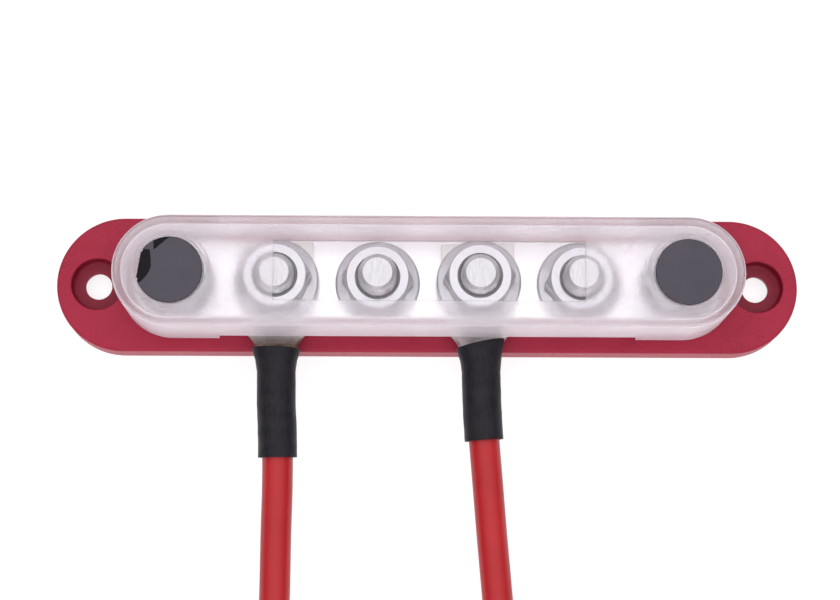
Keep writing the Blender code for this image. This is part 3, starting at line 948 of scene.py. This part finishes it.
def postMesh(node):
    low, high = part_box(node)
    seat = barHigh.z + gap
    sizes = postSizes
    hexagon = hexRadius(sizes["acrossFlats"], sizes["corner"])
    rows = [(low.z, sizes["stem"] - 0.0003), (low.z + 0.0003, sizes["stem"]), (seat, sizes["stem"]),
            (seat, sizes["flange"] - 0.0002), (seat + 0.0002, sizes["flange"]),
            (seat + sizes["flangeHeight"], sizes["flange"])]
    for i in range(8):
        share = i / 7
        cone = sizes["flange"] - 0.0003 - 0.0016 * share
        rows.append((seat + 0.0013 + 0.0012 * share, lambda a, c=cone: max(c, hexagon(a))))
    top = high.z
    for i in range(8):
        share = i / 7
        limit = sizes["corner"] + (sizes["chamferTop"] - sizes["corner"]) * share
        rows.append((top - 0.0010 * (1 - share), cappedRadius(hexagon, limit)))
    bore = sizes["bore"]
    rows += [(top, bore + 0.0005), (top - 0.0005, bore), (sizes["boreBottom"], bore)]
    return turnedMesh(rows, 96)


def screwThread(height):
    phase = height / screwSizes["pitch"]

    def radiusAt(angle):
        groove = abs(2 * ((phase - angle / (2 * math.pi)) % 1) - 1)
        return screwSizes["shank"] - screwSizes["thread"] * groove
    return radiusAt


def screwMesh(seat, tip):
    sizes = screwSizes
    rows = [(tip, sizes["shank"] - 0.0006), (tip + 0.0005, sizes["shank"] - 0.0001)]
    steps = 90
    for i in range(1, steps):
        height = tip + 0.0006 + (seat - tip - 0.0009) * i / steps
        rows.append((height, screwThread(height)))
    head, tall = sizes["head"], sizes["headHeight"]
    rows += [(seat, sizes["shank"]), (seat, head - 0.0002)]
    rows += [(seat + 0.0002, head), (seat + tall * 0.45, head)]
    for i in range(1, 7):  # domed top
        angle = math.radians(90 * i / 6)
        level = seat + tall * 0.45 + tall * 0.55 * math.sin(angle)
        rows.append((level, head * (0.42 + 0.58 * math.cos(angle))))
    body = turnedMesh(rows, 72)
    top = seat + tall
    blade = slabMesh(roundedLoop(*sizes["cross"], 0.0003, 3), top - sizes["crossDepth"], top + 0.001)
    cross = moved(blade, (0, 0, 0), Matrix.Rotation(math.pi / 2, 4, "Z"))
    return carved(body, ("DIFFERENCE", blade), ("DIFFERENCE", cross))


def insertBrass():
    made, tree, shader = newFinish("insertBrass", (0.72, 0.53, 0.24), 0.32, 1.0)
    place = objectPlace(tree)
    fine = noiseAt(tree, place, 1500, 3)
    coloured(tree, shader, fine, ((0.62, 0.44, 0.18), (0.78, 0.60, 0.30)))
    bumped(tree, shader, fine, 0.00003, 0.6)
    return made


def insertMesh(low, high):
    radius, tall, bore = (high.x - low.x) / 2, high.z - low.z, insertSizes["bore"]

    def knurled(angle):
        ridge = abs(2 * ((angle * insertSizes["knurls"] / (2 * math.pi)) % 1) - 1)
        return radius - insertSizes["knurlDepth"] * ridge
    rows = [(0, radius - 0.0004)]
    rows += [(tall * 0.05, knurled), (tall * 0.42, knurled)]
    rows += [(tall * 0.46, radius - 0.0005), (tall * 0.54, radius - 0.0005)]  # groove between the knurls
    rows += [(tall * 0.58, knurled), (tall * 0.95, knurled)]
    rows += [(tall, radius - 0.0004), (tall, bore + 0.0003), (tall - 0.0003, bore)]
    rows += [(0.0003, bore), (0, bore + 0.0003)]
    return turnedMesh(rows, 120, hollow=True)


def addPostsAndScrews():
    brass = insertBrass()
    for name, side in bothSides:
        post = f"post_{name}"
        addPiece(f"hex_post_{name}", above(post, postMesh(post)), steel,
                 "root", post, sharp=28)
        low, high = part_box(f"insert_{name}")
        addPiece(f"knurled_insert_{name}", above(post, insertMesh(low, high), low.z), brass,
                 "root", f"insert_{name}", sharp=28)
        low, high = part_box(f"cover_screw_{name}")
        seat = high.z - screwSizes["headHeight"]
        turn = Matrix.Rotation(0.4 * side + 0.2, 4, "Z")
        addPiece(f"pan_screw_{name}", above(post, screwMesh(seat, low.z), 0, turn), steel,
                 f"cover_screw_{name}", f"cover_screw_{name}", sharp=28)


addPostsAndScrews()
print("posts, inserts and screws")


# frosted cover

coverSizes = {
    "wall": 0.0021,
    "edge": 0.0010,
    "slotLength": 0.1072,
    "slotTop": 0.0124,
    "recess": 0.0088,
    "recessDepth": 0.0013,
    "well": 0.0043,
    "wellFloor": 0.0240,
    "wellBottom": 0.0222,
    "bossWide": 0.0100,
    "bossWideZ": 0.0258,
    "bossNarrow": 0.0062,
    "screwHole": 0.0023,
    "window": (0.078, 0.0150),
    "windowY": -0.0001,
    "windowDepth": 0.00004,
    "windowBorder": 0.00022,
    "innerEdge": 0.0006,
    "gate": (-0.0393, 0.0125),
}


def frostedCover(name, colours, paintedGlow):
    # clearer seen from above than through its walls; the emission is painted light, a pinkish glow standing
    # for light scattered in the plastic
    made, tree, shader = newFinish(name, colours[1], 0.36)
    facing = addNode(tree, "ShaderNodeNewGeometry").outputs["Normal"]
    level = addNode(tree, "ShaderNodeSeparateXYZ", {"Vector": facing}).outputs["Z"]
    upright = addNode(tree, "ShaderNodeMath", {0: level}, operation="ABSOLUTE").outputs[0]
    tree.links.new(between(tree, upright, 0.66, 0.90, 0.15, 0.93), shader.inputs["Transmission Weight"])
    place = objectPlace(tree)
    grain = noiseAt(tree, place, 2100, 2)
    coloured(tree, shader, grain, colours, (0.38, 0.57))
    roughened(tree, shader, noiseAt(tree, place, 240, 3), 0.29, 0.37)
    bumped(tree, shader, grain, 0.00006, 0.7)
    # painted light: the cover glows pinkish by itself
    setInputs(shader, {"IOR": 1.5, "Emission Color": (1.0, 0.93, 0.98, 1), "Emission Strength": paintedGlow})
    return made


def clearWindow():
    made, tree, shader = newFinish("clearWindow", (1.0, 1.0, 1.0), 0.02)
    setInputs(shader, {"Transmission Weight": 1.0, "IOR": 1.5})
    roughened(tree, shader, noiseAt(tree, objectPlace(tree), 300, 3), 0.015, 0.06)
    return made


def bossShape(bottom, radius, corner, ceiling):
    return turnedMesh(arc(bottom + corner, radius - corner, corner, -90, 0, 3) + [(ceiling, radius)], 72)


def coverMesh():
    low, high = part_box("cover")
    sizes = coverSizes
    length, width, top = high.x - low.x, high.y - low.y, high.z
    wall = sizes["wall"]
    shell = slabMesh(stadium(length, width, 72), low.z, top)
    shell = softenedAt(shell, top, sizes["edge"], 6)
    inner = slabMesh(stadium(length - 2 * wall, width - 2 * wall, 72), low.z - 0.001, top - wall)
    inner = softenedAt(inner, top - wall, sizes["innerEdge"], 4)
    slot = slabMesh(rectangle(sizes["slotLength"], 2 * width), low.z - 0.001, sizes["slotTop"])
    ceiling, floor = top - wall / 2, top - sizes["recessDepth"]
    steps = [("DIFFERENCE", inner), ("DIFFERENCE", slot)]
    for name, _ in bothSides:
        wide = bossShape(sizes["bossWideZ"], sizes["bossWide"], 0.0003, ceiling)
        narrow = bossShape(sizes["wellBottom"], sizes["bossNarrow"], 0.0004, ceiling)
        rows = arc(floor + 0.0002, sizes["recess"] - 0.0002, 0.0002, -90, 0, 3)
        rows += [(top - 0.0002, sizes["recess"]), (top + 0.0002, sizes["recess"] + 0.0003)]
        recess = turnedMesh(rows, 96)
        well = turnedMesh([(sizes["wellFloor"], sizes["well"]), (top, sizes["well"])], 64)
        hole = turnedMesh([(sizes["wellBottom"] - 0.001, sizes["screwHole"]), (top, sizes["screwHole"])], 48)
        for operation, tool in (("UNION", wide), ("UNION", narrow), ("DIFFERENCE", recess),
                                ("DIFFERENCE", well), ("DIFFERENCE", hole)):
            steps.append((operation, above(f"post_{name}", tool)))
    for border, depth in ((sizes["windowBorder"], sizes["windowDepth"] / 2), (0, sizes["windowDepth"])):
        outline = rectangle(*(side + 2 * border for side in sizes["window"]))
        cut = slabMesh(outline, top - depth, top + 0.001)
        steps.append(("DIFFERENCE", moved(cut, (0, sizes["windowY"], 0))))
    nub = turnedMesh([(top - 0.0005, 0.0008), (top + 0.00006, 0.0008), (top + 0.0001, 0.0006)], 24)
    steps.append(("UNION", moved(nub, (*sizes["gate"], 0))))
    return carved(shell, *steps), length, width, top


def addCover():
    mesh, length, width, top = coverMesh()
    # the walls' copy is pinker and glows: painted light for the red base's light coming through them
    finishes = [frostedCover("frostedCover", ((0.81, 0.785, 0.81), (1.0, 0.985, 1.0)), 0.078), clearWindow(),
                frostedCover("windowBorder", ((0.60, 0.57, 0.58), (0.74, 0.71, 0.72)), 0.0),
                frostedCover("frostedWallPaintedLight", ((0.92, 0.85, 0.90), (1.0, 0.95, 0.99)), 0.07)]
    addPiece("frosted_cover", mesh, finishes, "cover", "cover", sharp=35)
    reach, innerRadius = (length - width) / 2, width / 2 - coverSizes["wall"] * 0.6
    halfX, halfY = (side / 2 for side in coverSizes["window"])
    border, borderTop = coverSizes["windowBorder"], top - coverSizes["windowDepth"] / 2
    for face in mesh.polygons:
        (x, y, z), level = face.center, face.normal.z
        x, y = abs(x), abs(y)
        inWindow = x < halfX and y < halfY and 0.00001 < borderTop - z < 0.0003
        onCeiling = math.hypot(max(0, x - reach), y) < innerRadius and level < -0.5
        if x < halfX + border and y < halfY + border and abs(borderTop - z) < 0.000005:
            face.material_index = 2
        elif inWindow or onCeiling:
            face.material_index = 1
        elif abs(level) < 0.6:
            face.material_index = 3


addCover()
print("cover")


# round caps over the screws

capSizes = {
    "edge": 0.00025,
    "sides": 160,
    "rings": 44,
    "dentDepth": 0.00012,
    "bite": 0.0077,
    "biteAngle": math.radians(171),
    "notches": (math.radians(145), math.radians(197)),
    "notchDepth": 0.0004,
    "notchWidth": 0.05,
    "shift": {"left": -0.0003, "right": 0.0003},
}


def capGloss():
    made, tree, shader = newFinish("capGloss", (0.012, 0.0115, 0.015), 0.10, specular=0.78)
    setInputs(shader, {"Specular Tint": (0.92, 0.86, 1.0, 1)})
    place = objectPlace(tree)
    smears = noiseAt(tree, place, 160, 4)
    coloured(tree, shader, smears, ((0.008, 0.0072, 0.010), (0.019, 0.017, 0.024)))
    roughened(tree, shader, smears, 0.08, 0.16)
    bumped(tree, shader, noiseAt(tree, place, 900, 2), 0.00001, 0.25)
    return made


def capDentShade():
    # painted shade: the pressed-in facets are dark and barely glossy, for the dark they reflect
    made, tree, shader = newFinish("capDentShade", (0.006, 0.0058, 0.0075), 0.45, specular=0.12)
    creases = noiseAt(tree, objectPlace(tree, (1, 0.4, 1)), 700, 4)
    roughened(tree, shader, creases, 0.36, 0.60)
    bumped(tree, shader, creases, 0.00004, 0.6)
    return made


def pressedShare(u, v):
    # where the cap is pressed in: a sickle at its left and a corner above; u and v are in radii
    edge = -0.51 - 1.03 * max(0, 0.15 - v) ** 2 - 0.2 * max(0, v - 0.15) ** 2
    sickle = min((edge - u) / 0.05, (v + 0.42) / 0.04, (0.62 - v) / 0.04)
    corner = min((0.758 * v - 0.652 * u - 0.716) / 0.05, (u + 0.49) / 0.04)
    return min(1, max(0, sickle, corner))


def capMesh(radius, thickness, dented):
    form = bmesh.new()
    sides, rings, edge = capSizes["sides"], capSizes["rings"], capSizes["edge"]

    def drop(x, y):
        return capSizes["dentDepth"] * pressedShare(x / radius, y / radius) if dented else 0.0

    def outline(angle):
        if not dented:
            return radius
        reach = min(radius, capSizes["bite"] / max(0.2, math.cos(angle - capSizes["biteAngle"])))
        for at in capSizes["notches"]:
            away = abs((angle - at + math.pi) % (2 * math.pi) - math.pi)
            reach -= capSizes["notchDepth"] * max(0, 1 - away / capSizes["notchWidth"])
        return reach

    levels = [(0.0, i / rings) for i in range(1, rings)]  # depth, and share of the radius
    levels += [(edge * 0.3, 1 - edge * 0.3 / radius), (edge, 1.0), (thickness, 1.0)]
    centre = form.verts.new((0, 0, 0))
    rows = []
    for depth, share in levels:
        row = []
        for i in range(sides):
            angle = 2 * math.pi * i / sides
            reach = outline(angle) * share
            x, y = reach * math.cos(angle), reach * math.sin(angle)
            row.append(form.verts.new((x, y, -min(thickness, depth + drop(x, y)))))
        rows.append(row)
    for i in range(sides):
        form.faces.new((centre, rows[0][i], rows[0][(i + 1) % sides]))
    skinned(form, rows)
    form.faces.new(rows[-1])
    return meshFrom(form)


def addCaps():
    finishes = [capGloss(), capDentShade()]
    for name, _ in bothSides:
        low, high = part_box(f"cap_{name}")
        centre = (low + high) / 2
        centre.x += capSizes["shift"][name]
        radius, dented = (high.x - low.x) / 2, name == "left"
        mesh = moved(capMesh(radius, high.z - low.z, dented), (centre.x, centre.y, high.z))
        addPiece(f"black_cap_{name}", mesh, finishes, f"cap_{name}", f"cap_{name}", sharp=50)
        # the pressed-in faces take the painted-shade finish
        for face in mesh.polygons:
            share = pressedShare((face.center.x - centre.x) / radius, (face.center.y - centre.y) / radius)
            if dented and share > 0.5 and face.normal.z > 0:
                face.material_index = 1


addCaps()
print("caps")


# floor, lights and world

studio = {
    "floorSize": 6.0,
    "floorGlow": 0.78,
    "softboxes": {  # place, size, power
        "softboxAbove": ((0.0, 0.10, 1.3), 1.9, 6.5),
        "canopyAbove": ((0.0, 0.0, 1.4), 5.0, 66.0),
        "softboxFront": ((-0.1, -1.5, 0.55), 1.0, 4.0),
    },
    "tint": (1.0, 0.972, 1.025),
    "worldStrength": 0.15,
}


def floorWhite():
    made, tree, shader = newFinish("floorWhite", (0.38, 0.38, 0.38), 0.9, specular=0.1)
    setInputs(shader, {"Emission Color": (1, 1, 1, 1), "Emission Strength": studio["floorGlow"]})
    fine = noiseAt(tree, objectPlace(tree), 30, 3)
    coloured(tree, shader, fine, ((0.37, 0.37, 0.37), (0.39, 0.39, 0.39)))
    return made


def addFloor():
    half = studio["floorSize"] / 2
    form = bmesh.new()
    bmesh.ops.create_grid(form, x_segments=4, y_segments=4, size=half)
    floor = placed("floor", meshFrom(form, "floor"))
    floor.data.materials.append(floorWhite())
    floor.location.z = -0.0002


def addSoftbox(name, place, size, power):
    # aimed at the middle of the base
    light = bpy.data.lights.new(name, "AREA")
    light.shape, light.size, light.energy = "SQUARE", size, power
    light.color = studio["tint"]
    box = placed(name, light)
    box.location = place
    aim = Vector((0, 0, 0)) - Vector(place)
    box.rotation_euler = aim.to_track_quat("-Z", "Y").to_euler()
    box.visible_camera = False


def addWorld():
    world = bpy.data.worlds.new("studio")
    world.use_nodes = True
    back = world.node_tree.nodes["Background"]
    setInputs(back, {"Color": (1, 1, 1, 1), "Strength": studio["worldStrength"]})
    bpy.context.scene.world = world


addFloor()
for name, (place, size, power) in studio["softboxes"].items():
    addSoftbox(name, place, size, power)
addWorld()
bpy.context.scene.view_settings.view_transform = "Standard"
print("studio")

bpy.context.view_layer.update()
